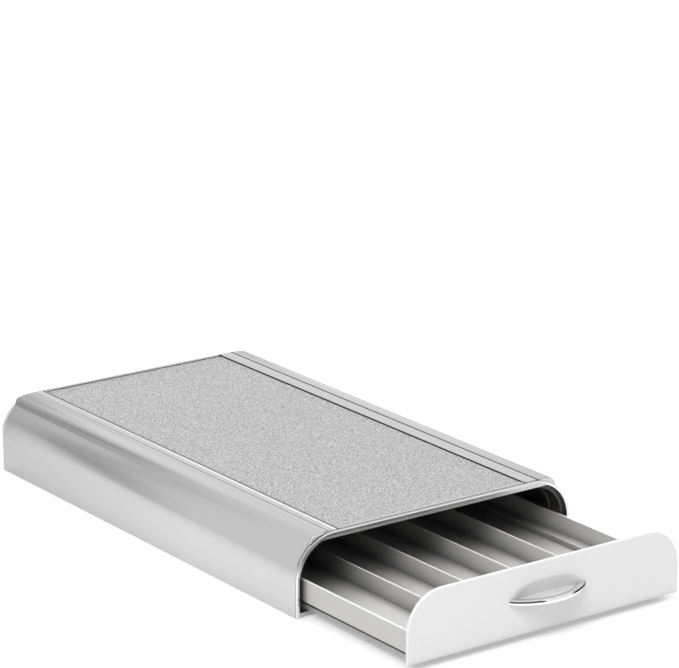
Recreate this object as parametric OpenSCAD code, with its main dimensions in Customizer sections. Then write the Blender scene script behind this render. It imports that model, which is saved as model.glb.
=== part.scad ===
// Coffee pod drawer: a low arched casing that a coffee machine stands on,
// with one shallow drawer of capsule lanes that slides out at the front.
// Millimetres, +Z up. The front faces -Y, and the drawer opens towards -Y.

/* [Casing] */
// Width across the side covers
case_w = 228.6; // [205:0.1:260]
// Depth over the front and rear bezels
case_d = 375; // [330:1:420]
// Height of the top face above the lower edge of the covers
case_h = 54; // [52:0.5:66]
// Wall of the side covers
cover_t = 2; // [1.6:0.1:2.4]
// Radius of the side covers' long curve
cover_r = 30.2; // [28:0.1:31]
// Distance of the shoulder's side from the casing's side
shoulder_in = 11.8; // [10:0.1:13]
// Lean of the shoulder's side, in degrees from upright
shoulder_lean = 15; // [0:1:20]
// Rounding of the shoulder's top edge
shoulder_r = 3.8; // [3:0.1:5]
// Radius of the shoulder's gently crowned top
crown_r = 70; // [50:1:120]

/* [Bezels] */
// Width of the bezel's lip seen from the front
ring_t = 2.4; // [1.8:0.1:3]
// Depth of the lip from front to back
ring_d = 3; // [2.8:0.1:5]
// Outer corner radius of the bezel
ring_r = 30; // [27:0.5:32]
// How far the bezel's top lies below the top face
ring_drop = 0.4; // [0.2:0.1:1]
// Rounding of the bezel's outer edge
ring_edge_r = 0.9; // [0.4:0.1:1.2]
// Distance from the lip's outer edge to the fine groove in its face
groove_in = 1.1; // [1:0.1:1.4]
// Width of that groove
groove_w = 0.3; // [0.2:0.05:0.4]
// Width of the seat behind the lip that the drawer front closes on
seat_w = 2.9; // [2.6:0.1:3]
// How far the seat and the rear panel reach behind the lips
ring_lap = 0.8; // [0.5:0.1:1.2]

/* [Top] */
// Distance of each seam from the casing's side
seam_in = 26.8; // [25:0.1:34]
// Smooth border of the top panel beside the inlay
border_w = 10.5; // [8:0.5:14]
// Thickness of the border where it lies on the covers' flanges
border_t = 3.3; // [3:0.1:3.6]
// Width of the top panel's front and rear borders
border_end = 2; // [1.9:0.1:6]
// Thickness of the grained inlay
inlay_t = 0.9; // [0.8:0.1:1]
// Depth of the inlay's face below the top face
inlay_drop = 0.8; // [0.6:0.1:0.8]
// Groove round the inlay
inlay_gap = 0.5; // [0.2:0.1:1]
// Open seam between the top panel and each cover
seam_open = 0.5; // [0.2:0.1:0.8]
// Thickness of the top panel under the inlay
panel_t = 2; // [1.6:0.1:2.4]
// Depth of the ribs under the top panel
rib_h = 3.9; // [2:0.1:4.5]
// Thickness of a rib
rib_t = 1.6; // [1.2:0.1:2.4]
// Number of crosswise ribs
cross_ribs = 8; // [4:1:12]
// Number of lengthwise ribs
long_ribs = 4; // [2:1:6]

/* [Frame] */
// Wall of the side frames
frame_t = 2.2; // [1.8:0.1:2.4]
// Wall of the front arch
arch_t = 1.3; // [1.1:0.1:1.3]
// Depth of the front arch behind the bezel
arch_d = 16; // [12:0.5:20]
// Thickness of the bezel's seat and of the rear panel
plate_t = 1.6; // [1.2:0.1:2]
// Width of the ledge that carries the top panel
ledge_w = 7; // [6:0.5:8]
// Width of each runner
runner_w = 12.5; // [12.5:0.5:14]
// Thickness of each runner
runner_t = 3; // [2.6:0.1:3.5]
// How far the feet lift the casing
foot_stand = 0.8; // [0.5:0.1:1]
// Radius of a foot
foot_r = 5.4; // [4:0.1:5.4]

/* [Drawer] */
// How far the drawer stands open at rest
drawer_open = 115; // [0:1:240]
// Full travel of the drawer from closed
travel = 270; // [240:1:290]
// Thickness of the drawer front
front_t = 2.6; // [2.2:0.1:2.8]
// Gap between the drawer front and the bezel
front_gap = 0.6; // [0.4:0.1:1]
// Height of the drawer front's lower edge
front_low = 3.9; // [3.8:0.1:5]
// Gap between the tray and the side frames, each side
tray_gap = 1.5; // [1.2:0.1:2]
// Tray wall
tray_t = 1.8; // [1.4:0.1:2.2]
// Height of the tray walls' top edge
tray_top = 25.3; // [22:0.1:26]
// Height of the step in the tray walls
tray_step = 10.5; // [10.4:0.1:12]
// Width of that step
step_w = 4.3; // [4:0.1:5]
// Depth of the groove between the step and the tray's foot flange
foot_groove = 3.5; // [2:0.1:4.5]
// Thickness of that flange
flange_h = 1.5; // [1.2:0.1:1.8]
// Thickness of the tray floor
floor_t = 2; // [1.6:0.1:2.4]
// Height of the glides under the tray
glide_h = 3.35; // [3:0.05:3.6]
// Number of capsule lanes
lanes = 5; // [3:1:6]
// Thickness of a divider
divider_t = 1.5; // [1.2:0.1:2]
// Height of a divider above the tray floor
divider_h = 13.4; // [10:0.1:14]

/* [Pull] */
// Half width of the pull
pull_half = 32; // [30:0.5:36]
// How far the pull stands out
pull_out = 13.9; // [12:0.1:16]
// Height of the pull's lip
lip_h = 3.7; // [3.6:0.1:5]
// Height of the lip's top face
lip_top = 29.8; // [29.6:0.1:32]
// Width of the lip's flat rim
lip_w = 5; // [4:0.1:5.5]
// Thickness of the shelf inside the pull
lip_floor = 1.3; // [0.9:0.1:1.4]
// Depth of the finger scoop in the drawer front
scoop_depth = 2.6; // [2:0.1:3]
// Half width of the scoop
scoop_half = 26; // [24:0.5:27]
// Radius of the scoop's hollow from top to bottom
scoop_r = 15; // [12:0.5:18]

/* [Hidden] */

$fn = 48;

// Clearances
part_gap = 0.3;    // between nested curved walls
seam_gap = 0.2;    // between plates that meet edge to edge
seat_gap = 0.1;    // round a plate in its rebate
slide_gap = 0.15;  // under the glides
side_play = 0.6;   // beside a glide, and above the tray walls
rest_gap = 0.2;    // from a stop to what meets it
hole_gap = 0.1;    // radial, round a screw or peg
part_touch = 0.05; // between the pull and the shelf inside it

// Casing outline
hw = case_w / 2;
shoulder_x = hw - shoulder_in;
seam_x = hw - seam_in;
inner_hw = hw - cover_t;
inner_r = cover_r - cover_t;
inner_top = case_h - cover_t;

// Bezel and mouth
ring_top = case_h - ring_drop;
mouth_hw = hw - ring_t;
mouth_top = ring_top - ring_t;
mouth_r = ring_r - ring_t;
rebate_hw = mouth_hw + ring_lap;
rebate_top = mouth_top + ring_lap;
rebate_r = mouth_r + ring_lap;
plate_end = ring_d + plate_t;

// Frame
flange_t = 2;
flange_x = seam_x - ledge_w;
flange_top = case_h - border_t;
ledge_x = flange_x - 2.5;
frame_hw = inner_hw - part_gap;
frame_top = flange_top - flange_t;
frame_r = inner_r - (inner_top - frame_top) / 2;
frame_in_hw = frame_hw - frame_t;
frame_in_top = frame_top - frame_t;
arch_in_hw = mouth_hw - seat_w;
arch_in_top = mouth_top - seat_w;
arch_in_r = mouth_r - seat_w;
arch_hw = arch_in_hw + arch_t;
arch_top = arch_in_top + arch_t;
arch_r = arch_in_r + arch_t;
arch_end = ring_d + arch_d;
arch_flange_t = 1.6;
bead_r = 2;
bead_out = 1.2;
bead_back = 1.4;
ear_t = 1.4;
frame_end = case_d - plate_end;
tongue_len = 16;
tongue_x = flange_x + ledge_w * 0.4 + 3.1;

// Top panel
pocket_x = seam_x - border_w;
pocket_z = case_h - inlay_drop - inlay_t;
pocket_front = ring_d + border_end;
pocket_rear = case_d - pocket_front;
panel_low = pocket_z - panel_t;
rib_low = panel_low - rib_h;
lip_round = 2;

// Runners and what stands on them
runner_x = inner_hw - runner_w;
guide_t = 1.2;
guide_h = 3;
boss_r = 2.8;
boss_x = frame_in_hw - 0.8;
boss_h = 6.6;
foot_x = inner_hw - runner_w / 2 - 0.2;
foot_sink = 1.2;
foot_front = 22;
foot_rear = case_d - foot_front;
stop_y = 8;
stop_len = 5;
stop_w = 6.8;

// Drawer, measured from its front face with the drawer closed
front_hw = mouth_hw - front_gap;
front_top = mouth_top - front_gap;
front_r = mouth_r - front_gap;
bumper_h = 4.5;
bumper_r = 5;
tray_rear = frame_end - bumper_h - rest_gap;
tray_hw = frame_in_hw - tray_gap;
rail_hw = tray_hw - step_w;
foot_hw = rail_hw - foot_groove;
glide_w = rail_hw - runner_x;
glide_low = runner_t + slide_gap;
floor_low = glide_low + glide_h;
floor_z = floor_low + floor_t;
step_in_z = tray_step + tray_t;
lane_w = (2 * (foot_hw - tray_t) - (lanes - 1) * divider_t) / lanes;
lane_pitch = lane_w + divider_t;
slot_gap = 0.15;
slot_rib = 1.2;
slot_len = 3;
slot_drop = 1;     // how far a slot ends below its divider's top
bite = 0.5;        // how far a small form reaches into the wall that carries it
catch_y = travel + stop_y + stop_len + rest_gap;
catch_len = 8;
catch_w = 5;
peg_short = 0.2;
catch_x = runner_x - side_play - catch_w;
guide_x = rail_hw + side_play;

// Pull and scoop
pull_r = (pull_half * pull_half + pull_out * pull_out) / (2 * pull_out);
pull_c = pull_r - pull_out;
lip_low = lip_top - lip_h;
lip_mid = (lip_top + lip_low) / 2;
lip_edge_r = 1.3;
post_x = pull_half - 4.5;
post_r = 1.7;
scoop_back = scoop_r - scoop_depth;
scoop_bow = (scoop_half * scoop_half + scoop_depth * scoop_depth) / (2 * scoop_depth);
scoop_z = lip_top - 0.2;
scoop_floor = lip_low + lip_floor;
scoop_wall = 1.6;

// Screws
screw_r = 1.4;
head_r = 2.8;
head_h = 1.4;
screw_short = 0.2;  // from a screw's tip to the end of its hole
pull_screw_r = 1;
pull_head_r = 2.6;
pull_head_h = 1.3;
pull_screw_in = 0.8; // how far a pull screw passes the drawer front's face

// Origin: middle of the footprint at floor level
y_shift = (drawer_open + pull_out - case_d) / 2;

silver = [0.78, 0.78, 0.79];
bright = [0.88, 0.88, 0.89];
grained = [0.66, 0.66, 0.67];
charcoal = [0.13, 0.13, 0.14];
pale = [0.82, 0.82, 0.8];
white = [0.92, 0.92, 0.92];
chrome = [0.75, 0.77, 0.8];
black = [0.08, 0.08, 0.08];
steel = [0.6, 0.6, 0.62];

// ---- placing ----

// Casing coordinates: y 0 at the front plane, z 0 at the covers' lower edge
module in_casing() {
    translate([0, y_shift, foot_stand]) children();
}

// Drawer coordinates: y 0 at the drawer front's face
module in_drawer() {
    translate([0, y_shift - drawer_open, foot_stand]) children();
}

// Extrudes an x-z outline from y0 to y1
module along(y0, y1) {
    translate([0, y1, 0]) rotate([90, 0, 0]) linear_extrude(y1 - y0) children();
}

// Box given by its lowest and highest corners
module block(low, high) {
    translate(low) cube(high - low);
}

// Round bar along +Y
module bar(r, len) {
    rotate([-90, 0, 0]) cylinder(r = r, h = len);
}

// ---- outlines ----

// Arch: straight sides, flat top and round upper corners
module arch(w, h, r) {
    translate([-w, 0]) square([2 * w, h - r]);
    translate([r - w, 0]) square([2 * (w - r), h]);
    for (side = [-1, 1]) translate([side * (w - r), h - r]) intersection() {
        circle(r, $fn = 96);
        translate([-r, 0]) square(2 * r);
    }
}

// Upper corner of the shoulder, from the middle out to x, up to z: a corner of radius r
// that runs into a crown of radius big, level with the top face at the seam. Below the
// corner the side leans out until it is inside the casing's outline
module shoulder(x, z, r, big) {
    low = z - cover_r / 2;
    across = x - r - seam_x;
    rise = sqrt((big - r) * (big - r) - across * across);
    corner_z = z - big + rise;
    meet_x = seam_x + across * big / (big - r);
    side_x = x - r + r * cos(shoulder_lean);
    side_z = corner_z + r * sin(shoulder_lean);
    foot_x = side_x + (side_z - low) * tan(shoulder_lean);
    polygon([[0, low], [foot_x, low], [side_x, side_z], [x - r, corner_z], [0, corner_z]]);
    translate([0, low]) square([seam_x, z - low]);
    intersection() {
        translate([seam_x, z - big]) circle(big, $fn = 192);
        translate([0, low]) square([meet_x, z - low]);
    }
    translate([x - r, corner_z]) circle(r);
}

// Casing outline of the right half
module casing_half() {
    intersection() {
        arch(hw, case_h, cover_r);
        square([hw, case_h]);
    }
    shoulder(shoulder_x, case_h, shoulder_r, crown_r);
}

// Space inside the right cover
module hollow_half() {
    intersection() {
        arch(inner_hw, inner_top, inner_r);
        translate([0, -1]) square([hw, case_h]);
    }
    translate([0, -1]) square([inner_hw, 2]);
    shoulder(shoulder_x - cover_t, case_h - cover_t, shoulder_r - cover_t, crown_r - cover_t);
}

// Screw with a pan head: the shank goes up, the head's seat is at z 0
module screw(len, r = screw_r, hr = head_r, hh = head_h) {
    cylinder(r = r, h = len);
    translate([0, 0, -hh]) cylinder(r = hr, h = hh);
}

// Room in the covers and the top panel for the front arch and the rear panel
module plate_rebates() {
    along(-1, arch_end + seam_gap) arch(arch_hw + seam_gap, arch_top + seam_gap, arch_r + seam_gap);
    for (flip = [0, 1]) translate([0, flip * case_d, 0]) mirror([0, flip, 0])
        along(-1, plate_end + seat_gap)
            arch(rebate_hw + seat_gap, rebate_top + seat_gap, rebate_r + seat_gap);
}

// ---- casing pieces ----

seam_x_pos = flange_x + ledge_w * 0.4;
seam_end = 20;
seam_y0 = arch_end + tongue_len + seam_end / 2;
seam_ys = [for (i = [0:4]) seam_y0 + i * (frame_end - seam_end - seam_y0) / 4];
tongue_y = arch_end + tongue_len / 2;

module side_cover() {
    difference() {
        along(ring_d, case_d - ring_d) {
            difference() {
                casing_half();
                hollow_half();
                square([seam_x, case_h + 1]);
            }
            // joggled flange that passes under the top panel
            translate([seam_x, frame_top]) square([flange_t, case_h - frame_top]);
            translate([flange_x, frame_top]) square([ledge_w + flange_t, flange_t]);
        }
        plate_rebates();
        block([0, -1, frame_top - 1], [seam_x, arch_end + seam_gap, flange_top]);
        for (y = concat(tongue_y, seam_ys)) translate([seam_x_pos, y, frame_top - 1])
            cylinder(r = screw_r + hole_gap, h = flange_t + 2);
    }
}

module left_side_cover() {
    color(silver) in_casing() mirror([1, 0, 0]) side_cover();
}

module right_side_cover() {
    color(silver) in_casing() side_cover();
}

leg_screw_y = ring_d + arch_d / 2 + 1;
rear_screw_x = pocket_x * 0.6;
rear_screw_z = panel_low - 3;
tap_gap = 0.05;

// Rounds the upper edges of the pocket along both sides
module pocket_flare() {
    drop = lip_round - inlay_drop;
    wide = sqrt(lip_round * lip_round - drop * drop);
    for (side = [0, 1]) mirror([side, 0, 0]) difference() {
        translate([pocket_x - 1, case_h - inlay_drop]) square([1 + wide, inlay_drop + 1]);
        translate([pocket_x + wide, case_h - lip_round]) circle(lip_round);
    }
}

module top_panel() {
    rib_end = frame_end - 2;
    rib_start = arch_end + 2;
    color(silver) in_casing() difference() {
        union() {
            // border that lies on the covers' flanges
            block([seam_open - seam_x, ring_d, flange_top], [seam_x - seam_open, case_d - ring_d, case_h]);
            // floor under the inlay
            block([seam_gap - flange_x, plate_end + seat_gap, panel_low],
                [flange_x - seam_gap, case_d - plate_end - seat_gap, case_h - inlay_drop]);
            // rib grid
            for (i = [0:cross_ribs - 1]) {
                y = rib_start + i * (rib_end - rib_start - rib_t) / (cross_ribs - 1);
                block([-ledge_x + 1, y, rib_low], [ledge_x - 1, y + rib_t, panel_low + 1]);
            }
            for (i = [0:long_ribs - 1]) {
                x = (i - (long_ribs - 1) / 2) * 2 * (ledge_x - 6) / (long_ribs - 1);
                block([x - rib_t / 2, rib_start, rib_low], [x + rib_t / 2, rib_end, panel_low + 1]);
            }
            // bosses for the rear panel's screws
            for (x = [-1, 1]) translate([x * rear_screw_x, frame_end - rear_boss_len, rear_screw_z])
                bar(rear_boss_r, rear_boss_len);
        }
        plate_rebates();
        block([-pocket_x, pocket_front, pocket_z], [pocket_x, pocket_rear, case_h + 1]);
        along(pocket_front, pocket_rear) pocket_flare();
        for (x = [-1, 1], y = concat(tongue_y, seam_ys)) translate([x * seam_x_pos, y, flange_top - 1])
            cylinder(r = screw_r + tap_gap, h = 1 + screw_in_panel);
        for (x = [-1, 1]) translate([x * rear_screw_x, frame_end - rear_tap_len, rear_screw_z])
            bar(screw_r + tap_gap, rear_tap_len + 1);
    }
}

module top_inlay() {
    x = pocket_x - inlay_gap;
    color(grained) in_casing()
        block([-x, pocket_front + inlay_gap, pocket_z], [x, pocket_rear - inlay_gap, pocket_z + inlay_t]);
}

// Section of a bezel's lip: rounded outer edge, fine groove; x is outwards, y is back
module lip_section() {
    e = ring_edge_r;
    inner_e = 0.4;
    groove_depth = 0.35;
    difference() {
        square([ring_t, ring_d]);
        translate([ring_t - e, 0]) difference() {
            translate([0, -1]) square([e + 1, e + 1]);
            translate([0, e]) circle(e);
        }
        difference() {
            translate([-1, -1]) square([inner_e + 1, inner_e + 1]);
            translate([inner_e, inner_e]) circle(inner_e);
        }
        translate([ring_t - groove_in - groove_w, -1]) square([groove_w, 1 + groove_depth]);
    }
}

// Section of the seat behind the front lip
module seat_section() {
    translate([-seat_w, ring_d]) square([seat_w + ring_lap, plate_t]);
}

// Sweeps a section up one side, round both corners and down the other side
module swept_arch(low) {
    leg = ring_top - ring_r;
    for (side = [0, 1]) mirror([side, 0, 0]) {
        translate([mouth_hw, 0, low]) linear_extrude(leg - low) children();
        translate([hw - ring_r, 0, leg]) rotate([90, 0, 0]) mirror([0, 0, 1])
            rotate_extrude(angle = 90, $fn = 96) translate([mouth_r, 0]) children();
    }
    // top bar, with the section turned upwards
    translate([ring_r - hw, 0, mouth_top]) rotate([0, 90, 0]) linear_extrude(2 * (hw - ring_r))
        mirror([1, 0, 0]) children();
}

// Ears of a bezel, which close the shoulders' ends
module bezel_ears() {
    inset = 0.5;
    for (side = [0, 1]) mirror([side, 0, 0]) along(ring_d - ear_t, ring_d) difference() {
        shoulder(shoulder_x - inset, case_h - inset, shoulder_r - inset, crown_r - inset);
        arch(mouth_hw, mouth_top, mouth_r);
        square([hw - ring_r, case_h]);
    }
}

module front_bezel() {
    color(bright) in_casing() {
        swept_arch(0) lip_section();
        bezel_ears();
        // seat across the top, cut level so that it runs out in the corners
        intersection() {
            swept_arch(runner_t) seat_section();
            block([-hw, 0, arch_in_top], [hw, plate_end, case_h]);
        }
    }
}

module rear_bezel() {
    color(bright) in_casing() translate([0, case_d, 0]) mirror([0, 1, 0]) {
        swept_arch(0) lip_section();
        bezel_ears();
    }
}

// Rounded bead inside the front arch, towards its rear end
module arch_bead() {
    intersection() {
        swept_arch(runner_t) intersection() {
            translate([-seat_w + bead_r - bead_out, arch_end - bead_r - bead_back]) circle(bead_r);
            translate([-seat_w - bead_r, 0]) square([bead_r + arch_t / 2, case_d]);
        }
        block([-hw, 0, tray_top + side_play], [hw, case_d, case_h]);
    }
}

module front_arch() {
    color(charcoal) in_casing() difference() {
        union() {
            arch_bead();
            difference() {
                union() {
                    // seat beside the drawer front, below the bezel's own
                    intersection() {
                        along(ring_d, plate_end) arch(rebate_hw, rebate_top, rebate_r);
                        block([-hw, 0, 0], [hw, case_d, arch_in_top - seat_gap]);
                    }
                    along(plate_end, plate_end + arch_flange_t) arch(frame_hw, panel_low - seam_gap, frame_r);
                    along(plate_end, arch_end) arch(arch_hw, arch_top, arch_r);
                }
                along(0, arch_end + 1) arch(arch_in_hw, arch_in_top, arch_in_r);
                block([-hw, 0, -1], [hw, arch_end + 1, runner_t]);
            }
            for (side = [-1, 1]) {
                mid = side * (ledge_x + tongue_x) / 2;
                half = (tongue_x - ledge_x) / 2;
                // tongue that the first pair of top screws clamps
                block([mid - half, arch_end - 5, frame_in_top], [mid + half, arch_end - 0.5, arch_in_top + 0.5]);
                block([mid - half, arch_end - 5, frame_in_top], [mid + half, arch_end + tongue_len, frame_top]);
                translate([side * boss_x, leg_screw_y, runner_t]) cylinder(r = boss_r, h = boss_h);
            }
        }
        for (side = [-1, 1]) {
            translate([side * seam_x_pos, tongue_y, frame_in_top - 1])
                cylinder(r = screw_r + hole_gap, h = frame_t + 2);
            translate([side * boss_x, leg_screw_y, runner_t - 1]) cylinder(r = screw_r + tap_gap, h = boss_h);
        }
    }
}

rear_boss_r = 3.4;
rear_boss_len = 14;
rear_tap_len = rear_boss_len - 2;
rear_boss_turn = 32;
rear_boss_out = frame_r - frame_t - rear_boss_r + 0.7;
rear_boss_x = frame_hw - frame_r + rear_boss_out * cos(rear_boss_turn);
rear_boss_z = frame_top - frame_r + rear_boss_out * sin(rear_boss_turn);
runner_screw_y = [for (i = [0:3]) 2 * foot_front + i * (foot_rear - 3 * foot_front) / 3];

module side_frame() {
    difference() {
        union() {
            along(arch_end, frame_end) {
                difference() {
                    arch(frame_hw, frame_top, frame_r);
                    arch(frame_in_hw, frame_in_top, frame_r - frame_t);
                    translate([-hw, -1]) square([hw + ledge_x, case_h]);
                    translate([0, -1]) square([hw, 1 + runner_t]);
                }
                // rib above the tray wall that keeps the open drawer level
                translate([tray_hw - tray_t - 1, tray_top + side_play])
                    square([frame_in_hw - tray_hw + tray_t + 2, 2]);
            }
            // feet bosses that stand on the runner
            for (y = runner_screw_y) translate([boss_x, y, runner_t]) cylinder(r = boss_r, h = boss_h);
            // boss for the rear panel's screw
            translate([rear_boss_x, frame_end - rear_boss_len, rear_boss_z]) bar(rear_boss_r, rear_boss_len);
        }
        for (y = runner_screw_y) translate([boss_x, y, runner_t - 1])
            cylinder(r = screw_r + tap_gap, h = boss_h);
        translate([rear_boss_x, frame_end - rear_tap_len, rear_boss_z]) bar(screw_r + tap_gap, rear_tap_len + 1);
        block([0, 0, frame_in_top - 4], [tongue_x + seam_gap, arch_end + tongue_len + seam_gap, case_h]);
        for (y = seam_ys) translate([seam_x_pos, y, frame_in_top - 1])
            cylinder(r = screw_r + hole_gap, h = frame_t + 2);
    }
}

module left_side_frame() {
    color(charcoal) in_casing() mirror([1, 0, 0]) side_frame();
}

module right_side_frame() {
    color(charcoal) in_casing() side_frame();
}

module runner() {
    nose = 0.6;
    difference() {
        union() {
            // flange that the drawer slides on
            block([runner_x, plate_end + seat_gap, 0], [inner_hw, frame_end - seat_gap, runner_t]);
            block([runner_x, nose, 0], [mouth_hw - seam_gap, plate_end + 1, runner_t]);
            // rib that keeps the glide in line
            block([guide_x, arch_end, runner_t - 1], [guide_x + guide_t, frame_end - seat_gap, runner_t + guide_h]);
            // tab that stops the open drawer
            block([runner_x - stop_w, stop_y, 0], [runner_x + 1, stop_y + stop_len, runner_t]);
        }
        for (y = [foot_front, foot_rear]) translate([foot_x, y, -1])
            cylinder(r = foot_r + hole_gap, h = foot_sink + 1);
        for (y = concat(leg_screw_y, runner_screw_y)) translate([boss_x, y, -1]) {
            cylinder(r = screw_r + hole_gap, h = runner_t + 2);
            cylinder(r = head_r + 2 * hole_gap, h = head_h + 1.2);
        }
    }
}

module left_runner() {
    color(charcoal) in_casing() mirror([1, 0, 0]) runner();
}

module right_runner() {
    color(charcoal) in_casing() runner();
}

module foot(side, y) {
    color(black) in_casing() translate([side * foot_x, y, -foot_stand]) {
        cylinder(r = foot_r, h = foot_stand + foot_sink);
    }
}

module front_left_foot() {
    foot(-1, foot_front);
}

module front_right_foot() {
    foot(1, foot_front);
}

module rear_left_foot() {
    foot(-1, foot_rear);
}

module rear_right_foot() {
    foot(1, foot_rear);
}

module rear_panel() {
    stiffener = 1.4;
    stiffener_x = rear_boss_x - 2 * rear_boss_r - 2;
    color(charcoal) in_casing() difference() {
        union() {
            along(frame_end, case_d - ring_d) arch(rebate_hw, rebate_top, rebate_r);
            // crosswise stiffening ribs
            for (part = [0.62, 0.74]) block([-stiffener_x, frame_end - 2, rebate_top * part],
                [stiffener_x, frame_end + 1, rebate_top * part + stiffener]);
        }
        block([-hw, frame_end - 3, -1], [hw, case_d, runner_t]);
        for (x = [-1, 1]) {
            translate([x * rear_screw_x, frame_end - 1, rear_screw_z]) bar(screw_r + hole_gap, plate_t + 2);
            translate([x * rear_boss_x, frame_end - 1, rear_boss_z]) bar(screw_r + hole_gap, plate_t + 2);
        }
    }
}

screw_in_panel = case_h - flange_top - 1.2;

module seam_screws() {
    color(steel) in_casing() for (x = [-1, 1], y = concat(tongue_y, seam_ys))
        translate([x * seam_x_pos, y, frame_in_top]) screw(flange_top + screw_in_panel - 0.2 - frame_in_top);
}

module runner_screws() {
    seat = head_h + 0.2;
    color(steel) in_casing() for (x = [-1, 1], y = concat(leg_screw_y, runner_screw_y))
        translate([x * boss_x, y, seat])
        screw(runner_t + boss_h - 1.2 - seat);
}

module rear_screws() {
    color(steel) in_casing() for (x = [-1, 1], top = [0, 1]) {
        px = top ? rear_screw_x : rear_boss_x;
        pz = top ? rear_screw_z : rear_boss_z;
        translate([x * px, case_d - ring_d, pz]) rotate([90, 0, 0]) screw(plate_t + rear_tap_len - 1);
    }
}

module closing_bumpers() {
    z = (floor_z + tray_top) / 2;
    color(black) in_casing() for (x = [-1, 1]) translate([x * tray_hw / 2, frame_end - bumper_h, z])
        bar(bumper_r, bumper_h);
}

// ---- drawer pieces ----

front_screw_x = [for (i = [0:3]) (i - 1.5) * foot_hw * 0.55];
front_screw_z = (floor_z + tray_top) / 2 - 1;
front_boss_r = 2.8;
front_screw_r = 1.25;
front_skin = 0.8;   // what is left in front of a screw hole in the drawer front
front_wall_end = front_t + tray_t;
divider_xs = [for (i = [1:lanes - 1]) (i - lanes / 2) * lane_pitch];

module drawer_tray() {
    color(pale) in_drawer() difference() {
        union() {
            difference() {
                along(front_t, tray_rear) {
                    translate([-foot_hw, floor_low]) square([2 * foot_hw, step_in_z - floor_low]);
                    translate([-rail_hw, floor_low]) square([2 * rail_hw, flange_h]);
                    translate([-tray_hw, tray_step]) square([2 * tray_hw, tray_top - tray_step]);
                }
                along(front_wall_end, tray_rear - tray_t) {
                    translate([tray_t - foot_hw, floor_z]) square([2 * (foot_hw - tray_t), tray_top]);
                    translate([tray_t - tray_hw, step_in_z]) square([2 * (tray_hw - tray_t), tray_top]);
                }
            }
            // slots that hold the dividers' ends
            for (x = divider_xs, side = [-1, 1]) {
                edge = x + side * (divider_t / 2 + slot_gap + slot_rib / 2) - slot_rib / 2;
                high = floor_z + divider_h - slot_drop;
                block([edge, front_wall_end - bite, floor_z - bite], [edge + slot_rib, front_wall_end + slot_len, high]);
                block([edge, tray_rear - tray_t - slot_len, floor_z - bite],
                    [edge + slot_rib, tray_rear - tray_t + bite, high]);
            }
        }
        for (x = front_screw_x) translate([x, front_t - 1, front_screw_z])
            bar(front_boss_r + hole_gap, tray_t + 2);
        for (side = [-1, 1]) {
            for (y = glide_pegs) translate([side * (rail_hw - glide_w / 2), y, floor_low - 1])
                cylinder(r = peg_r + hole_gap, h = 1 + flange_h);
            translate([side * (catch_x + catch_w / 2), catch_y + catch_len / 2, floor_low - 1])
                cylinder(r = peg_r + hole_gap, h = floor_t + 2);
        }
    }
}

peg_r = 1.2;
peg_end = 20;
glide_pegs = [for (i = [0:4]) peg_end + i * (tray_rear - 2 * peg_end) / 4];

module glide(side) {
    x = rail_hw - glide_w / 2;
    color(pale) in_drawer() {
        block([side * x - glide_w / 2, front_t, glide_low], [side * x + glide_w / 2, tray_rear - 1, floor_low]);
        for (y = glide_pegs) translate([side * x, y, floor_low - bite]) cylinder(r = peg_r, h = bite + flange_h);
    }
}

module left_glide() {
    glide(-1);
}

module right_glide() {
    glide(1);
}

module catch(side) {
    low = 0.9;
    x = side * (catch_x + catch_w / 2);
    color(charcoal) in_drawer() {
        block([x - catch_w / 2, catch_y, low], [x + catch_w / 2, catch_y + catch_len, floor_low]);
        translate([x, catch_y + catch_len / 2, floor_low - bite]) cylinder(r = peg_r, h = floor_t + bite - peg_short);
    }
}

module left_catch() {
    catch(-1);
}

module right_catch() {
    catch(1);
}

module divider(i) {
    r = divider_t / 2;
    color(pale) in_drawer() translate([divider_xs[i], 0, floor_z])
        along(front_wall_end + slot_gap, tray_rear - tray_t - slot_gap) {
            translate([-r, 0]) square([divider_t, divider_h - r]);
            translate([0, divider_h - r]) circle(r);
        }
}

module divider_1() {
    divider(0);
}

module divider_2() {
    divider(1);
}

module divider_3() {
    divider(2);
}

module divider_4() {
    divider(3);
}

// Long round body of the scoop, its axis along X
module scoop_body(grow = 0) {
    end = scoop_half + 4;
    rotate([0, 90, 0]) rotate_extrude($fn = 96) intersection() {
        translate([scoop_r - scoop_bow, 0]) circle(scoop_bow + grow, $fn = 192);
        translate([0, -end]) square([2 * scoop_r, 2 * end]);
    }
}

module drawer_front() {
    color(white) in_drawer() difference() {
        union() {
            intersection() {
                along(0, front_t) arch(front_hw, front_top, front_r);
                block([-hw, -1, front_low], [hw, front_t + 1, case_h]);
            }
            // moulded back of the finger scoop
            intersection() {
                translate([0, -scoop_back, scoop_z]) scoop_body(scoop_wall);
                block([-scoop_half, front_t - bite, scoop_floor - scoop_wall], [scoop_half, scoop_r, case_h]);
            }
            for (x = front_screw_x) translate([x, front_t - bite, front_screw_z]) bar(front_boss_r, bite + tray_t);
            // shelf that fills the pull
            intersection() {
                translate([0, pull_c, lip_low]) cylinder(r = pull_r - lip_w, h = lip_floor, $fn = 180);
                block([-pull_half, -pull_out, lip_low], [pull_half, 1, lip_top]);
            }
        }
        intersection() {
            translate([0, -scoop_back, scoop_z]) scoop_body();
            block([-scoop_half, -2 * scoop_r, scoop_floor], [scoop_half, scoop_r, case_h]);
        }
        for (x = front_screw_x) translate([x, front_skin, front_screw_z]) bar(front_screw_r + tap_gap, front_wall_end);
        for (x = [-1, 1]) translate([x * post_x, -1, lip_mid]) bar(post_r + hole_gap, front_t + 2);
    }
}

module front_screws() {
    color(steel) in_drawer() for (x = front_screw_x) translate([x, front_wall_end, front_screw_z])
        rotate([90, 0, 0]) screw(front_wall_end - front_skin - screw_short, front_screw_r, front_boss_r + 1.2);
}

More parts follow.
